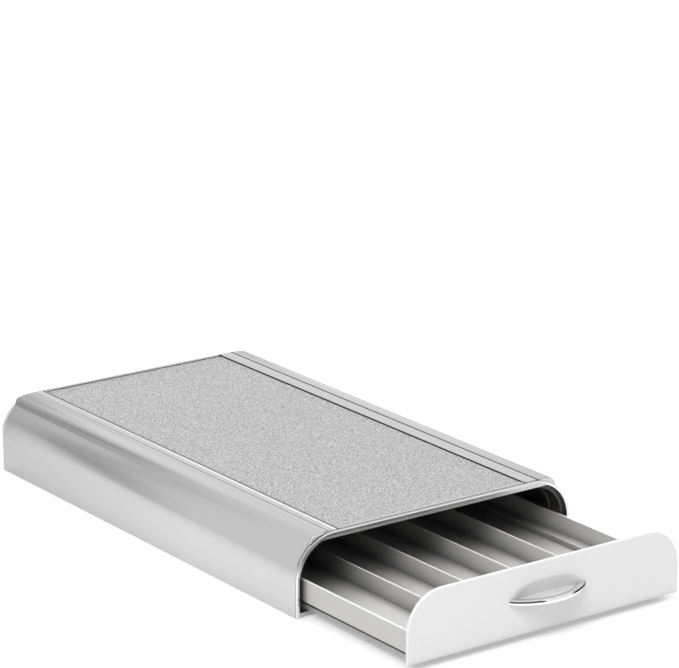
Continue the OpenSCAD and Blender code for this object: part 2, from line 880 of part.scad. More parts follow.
module drawer_pull() {
    color(chrome) in_drawer() difference() {
        union() {
            intersection() {
                translate([0, pull_c, 0]) rotate_extrude($fn = 180) difference() {
                    union() {
                        translate([0, lip_low]) square([pull_r - lip_edge_r, lip_h]);
                        translate([0, lip_low + lip_edge_r]) square([pull_r, lip_h - 2 * lip_edge_r]);
                        for (z = [lip_low, lip_top - 2 * lip_edge_r])
                            translate([pull_r - lip_edge_r, z + lip_edge_r]) circle(lip_edge_r);
                    }
                    translate([-1, lip_low - 1]) square([1 + pull_r - lip_w + part_touch, lip_h + 2]);
                }
                block([-pull_half, -pull_out - 1, lip_low - 1], [pull_half, 0, lip_top + 1]);
            }
            // solid ends that carry the posts
            for (side = [-1, 1]) {
                translate([side * post_x, -1.2, lip_mid]) bar(post_r, 1.2 + front_t);
            }
        }
        for (side = [-1, 1]) translate([side * post_x, -pull_screw_in - screw_short, lip_mid])
            bar(pull_screw_r + tap_gap, front_t + 2);
    }
}

module pull_screws() {
    color(steel) in_drawer() for (side = [-1, 1]) translate([side * post_x, front_t, lip_mid])
        rotate([90, 0, 0]) screw(front_t + pull_screw_in, pull_screw_r, pull_head_r, pull_head_h);
}

left_side_cover();
right_side_cover();
top_panel();
top_inlay();
front_bezel();
rear_bezel();
front_arch();
rear_panel();
left_side_frame();
right_side_frame();
left_runner();
right_runner();
front_left_foot();
front_right_foot();
rear_left_foot();
rear_right_foot();
seam_screws();
runner_screws();
rear_screws();
closing_bumpers();
drawer_tray();
drawer_front();
drawer_pull();
left_glide();
right_glide();
left_catch();
right_catch();
divider_1();
divider_2();
divider_3();
divider_4();
front_screws();
pull_screws();
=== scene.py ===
# Coffee pod drawer: finishes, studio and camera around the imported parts.
# Metres, +Z up, the drawer's front faces -Y.
import math

import bmesh
import bpy
from mathutils import Matrix, Vector


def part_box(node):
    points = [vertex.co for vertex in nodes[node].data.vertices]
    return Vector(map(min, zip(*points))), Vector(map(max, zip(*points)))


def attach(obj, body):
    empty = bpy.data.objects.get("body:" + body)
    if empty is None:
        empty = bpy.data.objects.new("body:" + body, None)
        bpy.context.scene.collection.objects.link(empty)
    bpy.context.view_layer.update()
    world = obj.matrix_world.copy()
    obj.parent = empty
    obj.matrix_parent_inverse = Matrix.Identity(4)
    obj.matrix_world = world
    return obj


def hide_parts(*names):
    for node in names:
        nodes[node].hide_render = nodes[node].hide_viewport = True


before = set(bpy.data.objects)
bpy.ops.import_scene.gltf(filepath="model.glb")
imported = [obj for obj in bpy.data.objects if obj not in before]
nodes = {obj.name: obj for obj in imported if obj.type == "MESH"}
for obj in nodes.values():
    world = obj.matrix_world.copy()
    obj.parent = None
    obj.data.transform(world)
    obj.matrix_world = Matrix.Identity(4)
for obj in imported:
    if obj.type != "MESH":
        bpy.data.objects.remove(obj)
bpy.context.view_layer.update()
MM = 0.001

# ---- camera ----

PICTURE_W = 679       # pixels across the picture
FOCAL_PIXELS = 3356.0
SENSOR = 36.0
EYE = Vector((-1286.91, -1782.88, 794.20)) * MM
TURN, TILT, ROLL = (math.radians(a) for a in (-36.013, 16.474, 0.047))


def place_camera():
    data = bpy.data.cameras.new("camera")
    data.sensor_width = SENSOR
    data.lens = FOCAL_PIXELS * SENSOR / PICTURE_W
    data.clip_end = 50
    cam = bpy.data.objects.new("camera", data)
    bpy.context.scene.collection.objects.link(cam)
    back = Vector((math.sin(TURN) * math.cos(TILT), -math.cos(TURN) * math.cos(TILT), math.sin(TILT)))
    right = Vector((math.cos(TURN), math.sin(TURN), 0))
    up = back.cross(right)
    level = Matrix((right, up, back)).transposed().to_4x4()
    cam.matrix_world = Matrix.Translation(EYE) @ level @ Matrix.Rotation(ROLL, 4, "Z")
    bpy.context.scene.camera = cam


# ---- sizes that the finishes and the detailed pieces share, in millimetres ----

GROOVE_Y = 123.05 - 1.25                      # groove of the front bezel
SEAM_X, SEAM_Z = 87.5, 52.5                   # cover's seam, and the height from which its painted shadow shows
POCKET_X, LINE_X = 77.0, 79.6                 # edge of the inlay's pocket, and the painted groove shadow beside it
SHOULDER_X, SHOULDER_Z = 97.5, 47.65          # foot of the shoulder's side
STEP_X, STEP_Z = (103.3, 106), (7.3, 12)      # painted shade on the step low on the tray's walls, from and to
CORNER_X, CORNER_Z, CORNER_R = 84.3, 24.4, 30.4     # rounded upper corner of the bezel
FRONT_AT = Vector((0, -238.05, 0.8)) * MM     # foot of the drawer front's face, as it stands open
FRONT_T, FRONT_LOW, FRONT_HW, FRONT_TOP, FRONT_R = 2.6, 3.9, 111.3, 50.6, 27.0
PULL_HALF, PULL_OUT, RIM_W = 32.0, 13.9, 5.0
POST_IN, POST_R, POST_OUT = 4.5, 1.7, 1.2     # pull's posts: in from its tips, radius, reach before the face
RIM_LOW, RIM_TOP, SHELF_TOP = 26.1, 29.8, 27.4
SCOOP_R, SCOOP_DEPTH, SCOOP_HALF, SCOOP_Z, SCOOP_WALL = 15.0, 2.6, 25.0, 29.6, 1.6
SCOOP_FILLET, FRONT_ROUND = 1.2, 0.5          # scoop's foot on the shelf; front's rounded edge
FRONT_BOSS_X, FRONT_BOSS_Z, FRONT_BOSS_R = (-82.9, -27.6, 27.6, 82.9), 15.9, 2.8

# ---- shader helpers ----

class Value:
    """A shader socket that can be used in plain sums and products."""

    def __init__(self, shader, socket):
        self.shader = shader
        self.socket = socket

    def _with(self, operation, first, second=None):
        values = {0: first} if second is None else {0: first, 1: second}
        return self.shader.node("ShaderNodeMath", values, operation=operation)

    def __add__(self, other):
        return self._with("ADD", self, other)

    __radd__ = __add__

    def __mul__(self, other):
        return self._with("MULTIPLY", self, other)

    __rmul__ = __mul__

    def __sub__(self, other):
        return self._with("SUBTRACT", self, other)

    def __rsub__(self, other):
        return self._with("SUBTRACT", other, self)

    def __pow__(self, other):
        return self._with("POWER", self, other)

    def __abs__(self):
        return self._with("ABSOLUTE", self)

    def higher_of(self, other):
        return self._with("MAXIMUM", self, other)


class Shader:
    """Builds the node tree of one material or of the world."""

    def __init__(self, owner):
        owner.use_nodes = True
        self.tree = owner.node_tree
        self.tree.nodes.clear()

    def node(self, kind, inputs=None, output=0, **settings):
        """A new node, and its output as a value; inputs are constants or other nodes' values."""
        made = self.tree.nodes.new(kind)
        for name, value in settings.items():
            setattr(made, name, value)
        for name, value in (inputs or {}).items():
            if isinstance(value, Value):
                self.tree.links.new(value.socket, made.inputs[name])
            else:
                made.inputs[name].default_value = value
        return Value(self, made.outputs[output]) if made.outputs else made

    def place(self):
        return self.node("ShaderNodeTexCoord", output="Object")

    def parts(self, vector):
        """The three components of a vector."""
        split = self.node("ShaderNodeSeparateXYZ", {0: vector})
        return [Value(self, out) for out in split.socket.node.outputs]

    def stretched(self, vector, scale):
        return self.node("ShaderNodeMapping", {"Vector": vector, "Scale": scale})

    def noise(self, vector, scale, detail=2.0, rough=0.5):
        return self.node("ShaderNodeTexNoise",
                         {"Vector": vector, "Scale": scale, "Detail": detail, "Roughness": rough})

    def cells(self, vector, scale):
        return self.node("ShaderNodeTexVoronoi", {"Vector": vector, "Scale": scale}, output="Distance")

    def ramp(self, value, low, high, to_low=0.0, to_high=1.0):
        return self.node("ShaderNodeMapRange",
                         {"Value": value, "From Min": low, "From Max": high,
                          "To Min": to_low, "To Max": to_high}, clamp=True)

    def between(self, value, low, high, soft=0.1):
        """1 from low to high, in millimetres, falling to 0 within the soft margin."""
        low, high, soft = low * MM, high * MM, soft * MM
        return self.ramp(value, low - soft, low) * self.ramp(value, high + soft, high)

    def blend(self, factor, one, two):
        return self.node("ShaderNodeMix", {0: factor, 6: one, 7: two}, output=2, data_type="RGBA")

    def bump(self, height, distance, strength=1.0):
        return self.node("ShaderNodeBump", {"Height": height, "Distance": distance, "Strength": strength})

    def edge_wear(self, low=0.53, high=0.6):
        """1 along outer edges, 0 on flats."""
        pointy = self.node("ShaderNodeNewGeometry", output="Pointiness")
        return self.ramp(pointy, low, high)

    def crevice(self, reach):
        """0 deep in grooves and corners, 1 in the open; the finishes paint shade with it."""
        return self.node("ShaderNodeAmbientOcclusion", {"Distance": reach}, output="AO", samples=8)

    def finish(self, **inputs):
        surface = self.node("ShaderNodeBsdfPrincipled",
                            {name.replace("_", " "): value for name, value in inputs.items()})
        self.node("ShaderNodeOutputMaterial", {"Surface": surface})


def new_material(name):
    """A new material and the shader that fills it."""
    made = bpy.data.materials.new(name)
    return made, Shader(made)


def grey(level, warm=0.0):
    """A nearly neutral colour; warm shifts it towards yellow."""
    return (level * (1 + warm), level, level * (1 - warm), 1)


# ---- finishes ----

def satin_metal(name, level, rough, streak=0.05, painted_light=0.0):
    """Satin sheet metal with faint lines along its length, a painted shadow along its seam and painted shade
    in its crevices.
    """
    made, s = new_material(name)
    place = s.place()
    x, y, z = s.parts(place)
    lines = s.noise(s.stretched(place, (2600, 6, 2600)), 1.0, 3.0, 0.6)
    broad = s.noise(s.stretched(place, (60, 4, 60)), 1.0, 2.0)
    dust = s.noise(place, 900, 2.0)
    tone = (lines - 0.5) * streak + (broad - 0.5) * streak
    shade = s.blend(s.ramp(tone, -0.06, 0.06), grey(level * (1 - streak)), grey(level * (1 + streak)))
    if painted_light:
        # painted shade towards the rear, a painted highlight on the top and painted shade on the side of the
        # shoulder
        shade = s.blend(s.ramp(y, 0.0, 0.25) * painted_light, shade, grey(0.0))
        tilt = s.parts(s.node("ShaderNodeNewGeometry", output="Normal"))[2]
        shade = s.blend(s.ramp(tilt, 0.95, 0.99), shade, grey(level * 1.12))
        flank_shade = (s.ramp(z, SHOULDER_Z * MM, (SHOULDER_Z + 0.15) * MM)
                 * s.ramp(abs(x), SHOULDER_X * MM, (SHOULDER_X + 2) * MM) * s.ramp(tilt, 0.96, 0.70))
        shade = s.blend(flank_shade * s.ramp(y, -0.08, 0.24, 0.0, 0.2), shade, grey(0.0))
    # painted shadow along the right cover's seam, and painted shade in crevices on the right half
    seam = s.between(x, SEAM_X - 0.2, SEAM_X + 0.95) * s.ramp(z, SEAM_Z * MM, (SEAM_Z + 1) * MM)
    deep = 1 - s.ramp(s.crevice(0.0012), 0.25, 0.6)
    shade = s.blend(seam.higher_of(deep * s.ramp(x, 0.0, 0.01)), shade, grey(0.03))
    s.finish(Base_Color=shade, Metallic=1.0,
             Roughness=rough + (lines - 0.5) * 0.08 + (broad - 0.5) * 0.05,
             Normal=s.bump(lines * 0.6 + dust * 0.4, 0.00002, 0.5))
    return made


def inlay_tone(s, place):
    """Colour of the finely pitted grain."""
    pits = s.cells(place, 1050)
    fine = s.noise(place, 880, 3.0, 0.75)
    return s.blend(s.ramp(pits * 0.5 + fine * 0.5, 0.34, 0.56), grey(0.13), grey(0.70))


def border_metal(name, level, rough):
    """Satin border of the top panel: a painted groove shadow and a smoother strip with a painted highlight on
    the left, painted shade on the pocket's right wall and in corners.
    """
    made, s = new_material(name)
    place = s.place()
    x, y, _ = s.parts(place)
    lines = s.noise(s.stretched(place, (2600, 6, 2600)), 1.0, 3.0, 0.6)
    dust = s.noise(place, 900, 2.0)
    shade = s.blend(s.ramp(lines, 0.3, 0.7), grey(level * 0.96), grey(level * 1.04))
    # smoother strip with a painted highlight, fading towards the rear
    polish_and_highlight = s.between(x, -LINE_X - 2.9, -LINE_X - 0.7, 0.4) * s.ramp(y, 0.22, 0.04, 0.0, 1.0)
    shade = s.blend(polish_and_highlight * 0.8, shade, grey(0.95))
    inner = s.between(x, -LINE_X, -POCKET_X + 1)
    shade = s.blend(inner, shade, inlay_tone(s, place))
    # painted shadow of a groove at the line, and painted shade on the pocket's right wall
    groove_shadow = s.between(x, -LINE_X - 0.6, -LINE_X + 0.6)
    wall = s.between(x, POCKET_X - 1, POCKET_X + 0.45).higher_of(groove_shadow)
    # painted shade in corners too, but not along the pocket's left wall
    deep = (1 - s.ramp(s.crevice(0.0012), 0.25, 0.6)) * s.ramp(x, -0.0745, -0.0735)
    shade = s.blend(wall.higher_of(deep), shade, grey(0.03))
    s.finish(Base_Color=shade, Metallic=1.0, Roughness=rough + (lines - 0.5) * 0.06 - polish_and_highlight * 0.1,
             Normal=s.bump(lines * 0.6 + dust * 0.4, 0.00002, 0.5))
    return made


def grained_metal(name):
    """Finely pitted metal of the inlay, with painted shade along its right edge."""
    made, s = new_material(name)
    place = s.place()
    x = s.parts(place)[0]
    fine = s.noise(place, 880, 3.0, 0.75)
    cloud = s.noise(place, 14, 2.0)
    # painted shade along the inlay's right edge, under the pocket's wall
    rim = s.ramp(x, (POCKET_X - 1.0) * MM, (POCKET_X - 0.9) * MM)
    shade = s.blend(rim, inlay_tone(s, place), grey(0.05))
    s.finish(Base_Color=shade, Metallic=0.9,
             Roughness=0.38 + (fine - 0.5) * 0.25 + (cloud - 0.5) * 0.08,
             Normal=s.bump(fine, 0.0003, 0.8))
    return made


def bezel_metal(name, level, rough):
    """Bright cast bezel: a painted dark reflection on its face on top, satin ears, and a satin heel behind its
    groove; painted shade on the heel and in the groove.
    """
    made, s = new_material(name)
    place = s.place()
    x, y, z = s.parts(place)
    half = abs(x)
    haze = s.noise(place, 45, 3.0, 0.6)
    dust = s.noise(place, 1800, 2.0)
    brushed = s.noise(s.stretched(place, (30, 900, 900)), 1.0, 2.0, 0.6)
    # painted dark reflection on the face, fading out towards the ears, and partly towards the right
    facing = s.parts(s.node("ShaderNodeNewGeometry", output="Normal"))[1]
    face = s.ramp(abs(facing), 0.86, 0.97) * s.ramp(half, 0.104, 0.084) * s.ramp(x, -0.03, 0.06, 1.0, 0.35)
    # painted shadow in the groove, and painted shade on the satin heel behind it
    groove = s.between(abs(y), GROOVE_Y - 0.25, GROOVE_Y + 0.25)
    heel = s.ramp(abs(y), (GROOVE_Y - 0.2) * MM, (GROOVE_Y - 0.4) * MM)
    across = half - CORNER_X * MM
    up = z - CORNER_Z * MM
    reach = (across * across + up * up) ** 0.5
    ear = (s.ramp(reach, CORNER_R * MM, (CORNER_R + 0.4) * MM)
           * s.ramp(across, 0.0, 1 * MM) * s.ramp(up, 0.0, 1 * MM))
    shade = s.blend(haze, grey(level * 0.97, -0.01), grey(level))
    shade = s.blend(face, shade, grey(level * 0.36))
    shade = s.blend(heel * (1 - ear), shade, grey(0.57))
    shade = s.blend(groove * (1 - ear) * 0.85, shade, grey(0.05))
    specks = s.ramp(dust, 0.62, 0.75) * 0.06
    s.finish(Base_Color=shade, Metallic=1.0 - ear * 0.75,
             Roughness=rough + (haze - 0.5) * 0.05 + specks + heel.higher_of(ear) * 0.16,
             Normal=s.bump(haze * 0.5 + brushed * 0.5, 0.00003, 0.25))
    return made


def bright_metal(name, level, rough, lined=False):
    """Bright plated pull or screw; a lined one has a painted dark reflection where its mesh's attribute says
    so.
    """
    made, s = new_material(name)
    place = s.place()
    haze = s.noise(place, 45, 3.0, 0.6)
    dust = s.noise(place, 1800, 2.0)
    shade = s.blend(haze, grey(level * 0.97, -0.01), grey(level))
    if lined:
        # painted dark reflection along the marked edge
        edge = s.node("ShaderNodeAttribute", output="Fac", attribute_name="painted_reflection")
        shade = s.blend(edge, shade, grey(0.015))
    s.finish(Base_Color=shade, Metallic=1.0,
             Roughness=rough + (haze - 0.5) * 0.05 + s.ramp(dust, 0.62, 0.75) * 0.06,
             Normal=s.bump(haze, 0.00004, 0.25))
    return made


def gloss_plastic(name, level, rough, warm=0.0, dirt=0.02, hollow_shade=0.0):
    """Glossy moulded plastic with a faint waviness, and painted shade in its hollows where asked."""
    made, s = new_material(name)
    place = s.place()
    wave = s.noise(place, 24, 2.0)
    fine = s.noise(place, 700, 3.0, 0.6)
    shade = s.blend(wave * 0.7 + fine * 0.3, grey(level * (1 - dirt), warm), grey(level * (1 + dirt), warm))
    # painted shade in hollows
    if hollow_shade:
        shade = s.blend((1 - s.ramp(s.crevice(0.012), 0.2, 0.85)) * hollow_shade, shade, grey(level * 0.12))
    s.finish(Base_Color=shade, Roughness=rough + (fine - 0.5) * 0.08 + (wave - 0.5) * 0.05,
             IOR=1.5, Normal=s.bump(wave * 0.8 + fine * 0.05, 0.0002, 0.25))
    return made


def moulded_plastic(name, level, rough, warm=0.0, grain=1500, depth=0.00004, wear=0.0, crevice_shade=0.0, crest=None,
                    step_shade=False):
    """Matt moulded plastic with a fine eroded grain; above its crest, in millimetres, a nearly white painted
    highlight; painted shade in its step and its crevices where asked.
    """
    made, s = new_material(name)
    place = s.place()
    x, _, z = s.parts(place)
    fine = s.noise(place, grain, 3.0, 0.65)
    cloud = s.noise(place, 18, 3.0)
    shade = s.blend(fine * 0.5 + cloud * 0.5, grey(level * 0.94, warm), grey(level * 1.05, warm))
    if wear:
        shade = s.blend(s.edge_wear() * wear, shade, grey(min(level * 1.8 + 0.03, 0.85), warm))
    # painted highlight along the top edge
    if crest:
        shade = s.blend(s.ramp(z, (crest - 0.2) * MM, (crest - 0.1) * MM) * 0.8, shade, grey(0.95, 0.02))
    # painted shade in the recessed step under the wall
    if step_shade:
        shade = s.blend(s.between(abs(x), *STEP_X) * s.between(z, *STEP_Z), shade, grey(0.01))
    # painted shade in crevices and deep inside
    if crevice_shade:
        near = s.ramp(s.crevice(0.012), 0.1, 0.9)
        far = s.ramp(s.crevice(0.08), 0.02, 0.42)
        shade = s.blend(near * far * crevice_shade + (1 - crevice_shade), grey(level * 0.04, warm), shade)
    s.finish(Base_Color=shade, Roughness=rough + (fine - 0.5) * 0.14 + (cloud - 0.5) * 0.06,
             Normal=s.bump(fine, depth, 0.6))
    return made


# the covers get painted shade towards the rear and on the shoulder's side, and a painted highlight on the top
COVER = satin_metal("cover_satin", 0.56, 0.30, painted_light=0.2)
RUNNER = satin_metal("runner_satin", 0.50, 0.34)
PANEL = border_metal("panel_border", 0.60, 0.28)
INLAY = grained_metal("inlay_grain")
BEZEL = bezel_metal("bezel_bright", 0.80, 0.14)
# the pull gets a painted dark reflection along its marked edge
PULL = bright_metal("pull_chrome", 0.82, 0.05, lined=True)
# painted shade in the front's scoop and other hollows
FRONT = gloss_plastic("front_white", 0.90, 0.22, hollow_shade=0.42)
# the tray and dividers get a painted highlight along their top edges and painted shade in their crevices; the
# tray also in its step
TRAY = moulded_plastic("tray_grey", 0.60, 0.42, warm=0.015, crevice_shade=0.9, crest=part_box("drawer_tray")[1][2] / MM,
                       step_shade=True)
GLIDE = moulded_plastic("glide_grey", 0.56, 0.38, warm=0.01)
DIVIDER = moulded_plastic("divider_grey", 0.62, 0.4, warm=0.01, crevice_shade=0.9,
                          crest=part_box("divider_1")[1][2] / MM)
CHARCOAL = moulded_plastic("frame_charcoal", 0.012, 0.45, wear=0.3)
ARCH = gloss_plastic("arch_charcoal", 0.028, 0.28, warm=0.06, dirt=0.1)
RUBBER = moulded_plastic("foot_rubber", 0.015, 0.75, grain=2200, depth=0.00008)
STEEL = bright_metal("screw_steel", 0.42, 0.30)

FINISHES = (
    (COVER, ("left_side_cover", "right_side_cover")),
    (RUNNER, ("left_runner", "right_runner")),
    (PANEL, ("top_panel",)),
    (INLAY, ("top_inlay",)),
    (BEZEL, ("front_bezel", "rear_bezel")),
    (ARCH, ("front_arch",)),
    (CHARCOAL, ("rear_panel", "left_side_frame", "right_side_frame", "left_catch", "right_catch")),
    (RUBBER, ("front_left_foot", "front_right_foot", "rear_left_foot", "rear_right_foot", "closing_bumpers")),
    (STEEL, ("seam_screws", "runner_screws", "rear_screws", "front_screws", "pull_screws")),
    (TRAY, ("drawer_tray",)),
    (FRONT, ("drawer_front",)),
    (PULL, ("drawer_pull",)),
    (GLIDE, ("left_glide", "right_glide")),
    (DIVIDER, ("divider_1", "divider_2", "divider_3", "divider_4")),
)


def dress(name, finish):
    part = nodes[name]
    part.data.materials.clear()
    part.data.materials.append(finish)


for part_finish, part_names in FINISHES:
    for part_name in part_names:
        dress(part_name, part_finish)

# ---- edge rounding ----

# width in millimetres and number of steps, with the nodes that have them
SOFT_EDGES = (
    (0.12, 1, ("top_inlay",)),
    (0.2, 2, ("top_panel", "front_bezel", "rear_bezel")),
    (0.25, 2, ("drawer_tray", "left_side_cover", "right_side_cover",
               "divider_1", "divider_2", "divider_3", "divider_4")),
    (0.3, 2, ("left_runner", "right_runner", "left_glide", "right_glide")),
    (0.4, 2, ("closing_bumpers", "front_left_foot", "front_right_foot", "rear_left_foot", "rear_right_foot")),
)


def soften(part, width, steps):
    weld = part.modifiers.new("join", "WELD")
    weld.merge_threshold = 1e-6
    bevel = part.modifiers.new("soft_edges", "BEVEL")
    bevel.width = width * MM
    bevel.segments = steps
    bevel.limit_method = "ANGLE"
    bevel.angle_limit = math.radians(35)
    bevel.use_clamp_overlap = True
    bevel.harden_normals = True


# ---- drawer front with its soft finger scoop, and the half-moon pull ----

def new_piece(name, build, at, material, smooth=40):
    """A piece from a bmesh in millimetres, with its place in its mesh."""
    shape = bmesh.new()
    build(shape)
    bmesh.ops.remove_doubles(shape, verts=shape.verts, dist=1e-4)
    bmesh.ops.dissolve_degenerate(shape, edges=shape.edges, dist=1e-4)
    bmesh.ops.recalc_face_normals(shape, faces=shape.faces)
    bmesh.ops.transform(shape, matrix=Matrix.Translation(at) @ Matrix.Scale(MM, 4), verts=shape.verts)
    mesh = bpy.data.meshes.new(name)
    shape.to_mesh(mesh)
    shape.free()
    mesh.materials.append(material)
    mesh.shade_smooth()
    mesh.set_sharp_from_angle(angle=math.radians(smooth))
    piece = bpy.data.objects.new(name, mesh)
    bpy.context.scene.collection.objects.link(piece)
    return piece


def skin(shape, rows, closed=False):
    """Faces between neighbouring rows of points."""
    rings = [[shape.verts.new(point) for point in row] for row in rows]
    for one, two in zip(rings, rings[1:]):
        span = len(one) if closed else len(one) - 1
        for i in range(span):
            k = (i + 1) % len(one)
            shape.faces.new((one[i], one[k], two[k], two[i]))
    return rings


def softly(value, width):
    """The positive part of a value, with its corner rounded over the width."""
    if value <= -width:
        return 0.0
    return value if value >= width else (value + width) ** 2 / (4 * width)


def scoop_reach(x):
    return SCOOP_R - SCOOP_DEPTH * abs(x / (SCOOP_HALF + 1)) ** 3


def scoop_depth(x, z):
    """Depth of the finger scoop behind the front's face."""
    if z < SHELF_TOP:
        return 0.0
    rise = z - SCOOP_Z
    reach = scoop_reach(x)
    inside = math.sqrt(max(reach * reach - rise * rise, 0)) + min(0.0, reach - abs(rise))
    depth = softly(inside - (SCOOP_R - SCOOP_DEPTH), 1.0)
    left = SCOOP_FILLET - (z - SHELF_TOP)
    if left > 0:
        depth -= SCOOP_FILLET - math.sqrt(SCOOP_FILLET * SCOOP_FILLET - left * left)
    return max(depth, 0.0)


def scoop_back(x, z):
    """How far the moulded back of the scoop stands behind the front."""
    if z < SHELF_TOP - SCOOP_WALL or abs(x) > SCOOP_HALF:
        return 0.0
    reach, rise = scoop_reach(x) + SCOOP_WALL, z - SCOOP_Z
    return softly(math.sqrt(max(reach * reach - rise * rise, 0)) - (SCOOP_R - SCOOP_DEPTH) - FRONT_T, 0.4)


def front_crown(x, inset=0.0):
    """Height of the front's outline above a place across it."""
    half, top, corner = FRONT_HW - inset, FRONT_TOP - inset, FRONT_R - inset
    out = abs(x) - (half - corner)
    return top if out <= 0 else top - corner + math.sqrt(max(corner * corner - out * out, 0))


def pull_edge(s):
    """Point on the pull's outer edge seen from above, and the direction out of it; s runs from -1 to 1."""
    def point(k):
        x = PULL_HALF * math.sin(math.pi / 2 * k)
        return Vector((x, -PULL_OUT * max(1 - (x / PULL_HALF) ** 2, 0) ** 0.8))
    step = 0.004
    run = point(min(s + step, 1)) - point(max(s - step, -1))
    return point(s), Vector((run.y, -run.x)).normalized()


def pull_rows(profile, steps=96):
    """Rows along the pull's edge; a profile point is its distance in from the edge and its height."""
    rows = []
    for i in range(steps + 1):
        at, out = pull_edge(2 * i / steps - 1)
        row = []
        for inward, z in profile:
            x, y = at - out * inward
            row.append((x, min(y, 0.0), z))
        rows.append(row)
    return rows


def lathe_peg(shape, x, z, radius, y0, y1, edge=0.3, sides=24):
    """Round peg along Y with softened ends."""
    rows = []
    outline = ((0.01, y0), (radius - edge, y0), (radius, y0 + edge),
               (radius, y1 - edge), (radius - edge, y1), (0.01, y1))
    for r, y in outline:
        rows.append([(x + r * math.cos(2 * math.pi * i / sides), y, z + r * math.sin(2 * math.pi * i / sides))
                     for i in range(sides)])
    skin(shape, rows, closed=True)


def build_front(shape):
    round_off = FRONT_ROUND
    half, corner = FRONT_HW - round_off, FRONT_R - round_off
    flat = half - corner
    bend = [flat + corner * math.sin(math.radians(a)) for a in range(6, 91, 6)]
    fine = [i * 0.5 for i in range(0, 69)]
    coarse = [fine[-1] + (flat - fine[-1]) * i / 8 for i in range(1, 9)]
    side = fine + coarse + bend
    xs = [-x for x in reversed(side[1:])] + side
    # rows lie closest where the scoop bends up from the shelf
    low, top = FRONT_LOW + round_off, FRONT_TOP - round_off
    zs = [low + (26 - low) * i / 6 for i in range(7)] + [27.0, 27.3, SHELF_TOP - 0.01, SHELF_TOP]
    zs += [SHELF_TOP + 1.3 * (i / 7) ** 1.5 for i in range(1, 8)]
    zs += [29 + i * 0.5 for i in range(0, 27)] + [43, 45, 47, 49, top]
    places = [(z - low) / (top - low) for z in zs]
    front, back = [], []
    for v in places:
        front.append([])
        back.append([])
        for x in xs:
            z = low + v * (front_crown(x, round_off) - low)
            middle = abs(x) < 40
            front[-1].append((x, scoop_depth(x, z) if middle else 0.0, z))
            back[-1].append((x, FRONT_T + (scoop_back(x, z) if middle else 0.0), z))
    # outline walked once round, with the direction out of it at each point
    last = len(xs) - 1
    walk = [(0, i) for i in range(last)] + [(r, last) for r in range(len(zs) - 1)]
    walk += [(len(zs) - 1, i) for i in range(last, 0, -1)] + [(r, 0) for r in range(len(zs) - 1, 0, -1)]

    def outward(r, i):
        x = front[r][i][0]
        side_way = -1 if x < 0 else 1
        if r == 0:
            return (side_way if i in (0, last) else 0.0, -1.0)
        if i in (0, last) and r < len(zs) - 1:
            return (side_way, 0.0)
        beyond = abs(x) - flat
        if beyond <= 0:
            return (0.0, 1.0)
        angle = math.asin(min(beyond / corner, 1))
        return (side_way * math.sin(angle), math.cos(angle))

    rows = []
    for step in range(1, 5):
        a = math.radians(90 * step / 4)
        out, back_by = round_off * math.sin(a), round_off * (1 - math.cos(a))
        rows.append([(front[r][i][0] + outward(r, i)[0] * out, back_by,
                      front[r][i][2] + outward(r, i)[1] * out) for r, i in walk])
    rows.append([(x, FRONT_T - 0.3, z) for x, _, z in rows[-1]])
    rows.append([(front[r][i][0] + outward(r, i)[0] * 0.25, FRONT_T, front[r][i][2] + outward(r, i)[1] * 0.25)
                 for r, i in walk])
    skin(shape, front)
    skin(shape, back)
    skin(shape, [[front[r][i] for r, i in walk]] + rows + [[back[r][i] for r, i in walk]], closed=True)
    add_shelf(shape)
    for x in FRONT_BOSS_X:
        lathe_peg(shape, x, FRONT_BOSS_Z, FRONT_BOSS_R, FRONT_T - 0.5, FRONT_T + 1.8)


def add_shelf(shape):
    """Shelf inside the pull's rim."""
    shelf = [(RIM_W + 0.05, RIM_LOW + 0.1), (RIM_W + 0.05, SHELF_TOP - 0.15), (RIM_W + 0.2, SHELF_TOP)]
    rows = pull_rows(shelf)
    under, over = [row[0] for row in rows], [row[2] for row in rows]
    skin(shape, rows)
    skin(shape, [over, [(x, 0.0, z) for x, _, z in over]])
    skin(shape, [under, [(x, 0.0, z) for x, _, z in under]])


def build_pull(shape):
    profile = [(RIM_W, RIM_LOW), (1.6, RIM_LOW), (0.9, RIM_LOW + 0.1), (0.45, RIM_LOW + 0.4),
               (0.15, RIM_LOW + 0.9), (0.0, RIM_LOW + 1.6), (0.0, RIM_LOW + 2.15), (0.17, RIM_LOW + 2.6),
               (0.36, RIM_LOW + 3.05), (0.6, RIM_TOP - 0.32), (0.9, RIM_TOP - 0.1), (1.4, RIM_TOP),
               (4.6, RIM_TOP), (4.88, RIM_TOP - 0.1), (RIM_W, RIM_TOP - 0.4)]
    dark_line = range(7, 10)      # points of the profile with a painted dark reflection, on the right half
    painted_reflection = shape.verts.layers.float.new("painted_reflection")
    rings = skin(shape, [row + row[:1] for row in pull_rows(profile)])
    for k, ring in enumerate(rings):
        s = 2 * k / (len(rings) - 1) - 1
        # the left tip gets the painted dark reflection all round
        left_tip = s < -0.975
        right = min(max((s - 0.2) / 0.08, 0.0), 1.0)
        for i, vert in enumerate(ring):
            vert[painted_reflection] = 1.0 if left_tip else right * float(i in dark_line)
    for side in (-1, 1):
        lathe_peg(shape, side * (PULL_HALF - POST_IN), (RIM_LOW + RIM_TOP) / 2, POST_R, -POST_OUT, FRONT_T)


front_panel = new_piece("front_panel", build_front, FRONT_AT, FRONT)
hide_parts("drawer_front")
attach(front_panel, "drawer")
chrome_pull = new_piece("chrome_pull", build_pull, FRONT_AT, PULL, smooth=60)
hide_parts("drawer_pull")
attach(chrome_pull, "drawer")

# ---- screws with cross recesses ----

